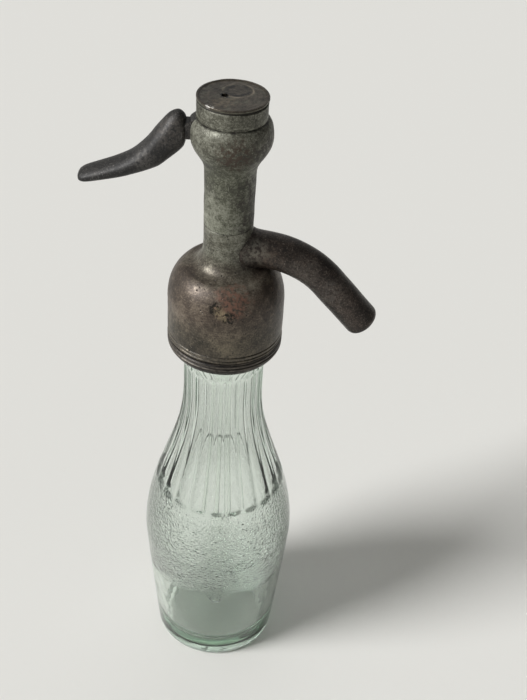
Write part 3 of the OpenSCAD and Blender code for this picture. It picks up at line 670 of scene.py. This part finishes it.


# ---- Column ----
# A second pewter casting, soldered on at a fine seam. It holds the spring, and swells round the
# lever's pivot, with a slot for the lever. Its skin has a greenish grey bloom. A pale patch on its
# left front is painted light, and its right side is painted darker as shade.
column_low = seam + 0.05
column_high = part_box("column")[1][2] / MM
crease = column_high - 7.1
bulb_r = max(-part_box("column")[0][0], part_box("column")[1][1]) / MM
rim_r = 14.3
pivot = Vector((-12.5, 0, crease - 5.7))
column = turned("column_cast", (
    [(stem_r - 0.12, column_low), (stem_r, column_low + 0.12), (stem_r + 0.1, crease - 31)]
    + curve((stem_r + 0.25, crease - 25), (stem_r + 0.3, crease - 17), (bulb_r, crease - 15), (bulb_r, crease - 7.5), 20)
    + curve((bulb_r, crease - 7), (bulb_r, crease - 3.5), (rim_r + 1.9, crease - 1.5), (rim_r + 0.3, crease - 0.2), 14)
    + [(rim_r - 0.25, crease - 0.05), (rim_r - 0.25, crease + 0.25), (rim_r, crease + 0.6),
       (rim_r + 0.1, column_high - 0.25), (rim_r - 0.15, column_high), (9.6, column_high), (9.6, crease - 21),
       (7.3, crease - 21), (7.3, seam - 1.5), (8.0, seam - 1.5), (8.0, column_low), (stem_r - 0.12, column_low)]),
    around=200, step=0.8)
cast_skin(column, 0.3, 12)
cast_skin(column, 0.06, 2.4)


def block(name, low, high, rounding=0.0):
    """A box between two corners, with rounded edges, all in millimetres."""
    mesh = bmesh.new()
    bmesh.ops.create_cube(mesh, size=1)
    for v in mesh.verts:
        v.co = [(a + b) / 2 * MM + c * (b - a) * MM for a, b, c in zip(low, high, v.co)]
    if rounding:
        bmesh.ops.bevel(mesh, geom=mesh.edges[:], offset=rounding * MM, segments=4, profile=0.5, affect="EDGES")
    return made(name, mesh)


def bar(name, centre, radius, length, axis="Y", sides=48, end_radius=None):
    """A round bar or cone along an axis through a point, in millimetres."""
    mesh = bmesh.new()
    turn = Matrix.Rotation(math.radians(90), 4, "X") if axis == "Y" else Matrix()
    bmesh.ops.create_cone(mesh, cap_ends=True, segments=sides, radius1=radius * MM,
                          radius2=(radius if end_radius is None else end_radius) * MM,
                          depth=length * MM, matrix=Matrix.Translation(Vector(centre) * MM) @ turn)
    return made(name, mesh)


joined(column, "DIFFERENCE", block("slot_cutter", (-20, -4.3, pivot.z - 5.5), (-8, 4.3, pivot.z + 5.5)))
column_pewter = cast_pewter(
    "cast pewter, green-grey bloom", GREEN_GREY, rough=(0.4, 0.6), metallic=0.4, pits=0.8, scratches=0.6,
    blends=((crease - 8, crease - 16, ("#86877A", "#4F5043", "#2A2923")),),
    levels=((crease, 0.45, GRIME, 0.8), (crease - 17, 1.0, "#26231E", 0.5), (seam, 0.35, GRIME, 0.9)),
    # The pale mark on the left front is painted light from the window side; the three #2F2A25 marks on the right are
    # painted shade.
    marks=(((3, -15.5, crease - 10), 9.0, "#3F342A", 1.1), ((-7, -8, crease - 36), 9.0, "#8F8F83", 0.35),
           ((14, -8, crease - 11), 11.0, "#2F2A25", 0.9), ((11, -5, crease - 30), 12.5, "#2F2A25", 0.9),
           ((11, -5, crease - 47), 13.0, "#2F2A25", 0.9)))
dressed(column, column_pewter, "siphon", "green_pewter", "column")


# ---- Cap ----
# A turned disc with a plug below it screws down on a leather ring. A fine vent hole beside the
# middle lets the plunger breathe. Its face is dark, with turning marks and a worn rim, on whose
# front left a glint is painted. The vent hole is painted black inside as shade.
cap_low, cap_high = (corner[2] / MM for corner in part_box("cap"))
cap_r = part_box("cap")[1][0] / MM
disc_low = cap_high - 1.2
cap = turned("cap_turned", [
    (0, cap_low), (9.5, cap_low), (9.5, disc_low), (cap_r - 0.2, disc_low), (cap_r, disc_low + 0.25),
    (cap_r, cap_high - 0.35), (cap_r - 0.15, cap_high - 0.08), (cap_r - 0.4, cap_high), (cap_r - 0.9, cap_high),
    (cap_r - 1.3, cap_high - 0.35), (cap_r - 1.7, cap_high - 0.4), (0, cap_high - 0.4)], around=180, step=0.7)
cast_skin(cap, 0.10, 7)
gasket_low, gasket_high = (corner[2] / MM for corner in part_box("cap_gasket"))
gasket = turned("cap_gasket_pressed", [
    (9.7, gasket_low), (rim_r - 0.35, gasket_low), (rim_r - 0.15, (gasket_low + gasket_high) / 2),
    (rim_r - 0.35, gasket_high), (9.7, gasket_high), (9.7, gasket_low)], around=120, step=2)
dressed(gasket, plain("leather, black with age", "#2A2721", 0.7, grain=0.5, depth=0.08), "siphon", "leather", "cap_gasket")
joined(cap, "DIFFERENCE", bar("vent_cutter", (-3.2, 0, cap_high), 1.5, 12, "Z", 32))
cap_pewter = cast_pewter(
    "turned pewter, brown-black", ("#5F574C", "#433D35", "#292521"), rough=(0.28, 0.46), metallic=0.6, pits=0.3,
    turning=0.2, rings=(((1.7, 4.6, cap_high - 0.4), 4.4, 1.5, "#171411", 1.4),
                        ((1.7, 4.6, cap_high - 0.4), 6.1, 0.6, "#857B6B", 0.8)),
    levels=((disc_low + 0.35, 0.45, "#5F6053", 0.9),),
    # The near-black mark round the vent is painted shade in the hole; the near-white mark on the rim is a painted glint
    # where the rim is worn bright.
    marks=(((-3, -6, cap_high - 0.4), 6.0, "#6E6350", 0.5), ((-3.2, 0, cap_high - 2.2), 3.0, "#0E0D0C", 4.0),
           ((-8.5, -11.6, cap_high + 0.6), 2.2, "#E2E0DA", 0.95)))
dressed(cap, cap_pewter, "siphon", "dark_pewter", "cap")


# ---- Lever ----
# A cast handle shaped like a horn, oval in section, with a round hub on the pin and a tongue whose
# nose lifts the plunger. Its skin is near black, with fine scratches where the thumb lies.
HEEL_X, HANDLE = 18.3, 44.5
# Share of the length, height of the centre above the pivot, half height and half width
HANDLE_STATIONS = (
    (0.00, -1.0, 4.6, 4.2), (0.02, -1.4, 6.9, 5.2), (0.07, -2.0, 8.9, 6.0), (0.15, -4.5, 9.7, 6.8),
    (0.25, -8.9, 9.0, 7.1), (0.36, -13.3, 6.8, 7.2), (0.48, -16.8, 5.0, 7.1), (0.62, -19.7, 4.1, 6.8),
    (0.78, -22.1, 3.4, 6.5), (0.92, -24.0, 2.8, 5.8), (0.98, -24.7, 2.0, 4.2), (1.00, -24.9, 0.7, 1.8))


def between_stations(stations, i, t):
    """Values at share t from station i to the next, on a smooth curve."""
    a, b, c, d = (stations[max(0, min(len(stations) - 1, i + k))] for k in (-1, 0, 1, 2))
    return [0.5 * (2 * q + (r - p) * t + (2 * p - 5 * q + 4 * r - s) * t * t + (3 * q - p - 3 * r + s) * t ** 3)
            for p, q, r, s in zip(a, b, c, d)]


def horn(name, stations, sides=40, steps=8):
    """Lofts the handle through its oval stations and closes both ends."""
    rows = [between_stations(stations, i, k / steps) for i in range(len(stations) - 1) for k in range(steps)]
    rows.append(stations[-1])
    mesh = bmesh.new()
    rings = []
    for along, centre, half_height, half_width in rows:
        turns = [2 * math.pi * k / sides for k in range(sides)]
        rings.append([mesh.verts.new((
            -(HEEL_X + HANDLE * along) * MM, half_width * math.sin(t) * MM,
            (pivot.z + centre + half_height * math.cos(t)) * MM)) for t in turns])
    for low, high in zip(rings, rings[1:]):
        for k in range(sides):
            n = (k + 1) % sides
            mesh.faces.new([low[k], low[n], high[n], high[k]])
    mesh.faces.new(rings[0])
    mesh.faces.new(rings[-1])
    bmesh.ops.recalc_face_normals(mesh, faces=mesh.faces)
    return made(name, mesh)


lever = horn("lever_cast", HANDLE_STATIONS)
joined(lever, "UNION", bar("hub", pivot, 5.2, 8), bar("nose", (0, 0, pivot.z), 3, 6, sides=32),
       block("link", (-HEEL_X - 2, -4, pivot.z - 4.2), (pivot.x + 2, 4, pivot.z + 2.7), 1.2),
       block("tongue", (pivot.x, -3, pivot.z - 1.5), (0, 3, pivot.z + 1.5)))
joined(lever, "DIFFERENCE", bar("pin_hole", pivot, 1.58, 12, sides=32))
cast_skin(lever, 0.12, 8)
lever_pewter = cast_pewter(
    "cast pewter, black with wear", ("#35322F", "#201F1E", "#141313"), rough=(0.42, 0.58), metallic=0.3, pits=0.4,
    scratches=1.0, scratch_tone="#6E6B68", turning=0.0, marks=(((-22, -5, 306), 9.0, "#4D4843", 0.5), ((-34, -6, 294), 7.0, "#6A6662", 0.3)))
dressed(lever, lever_pewter, "lever", "black_pewter", "lever")
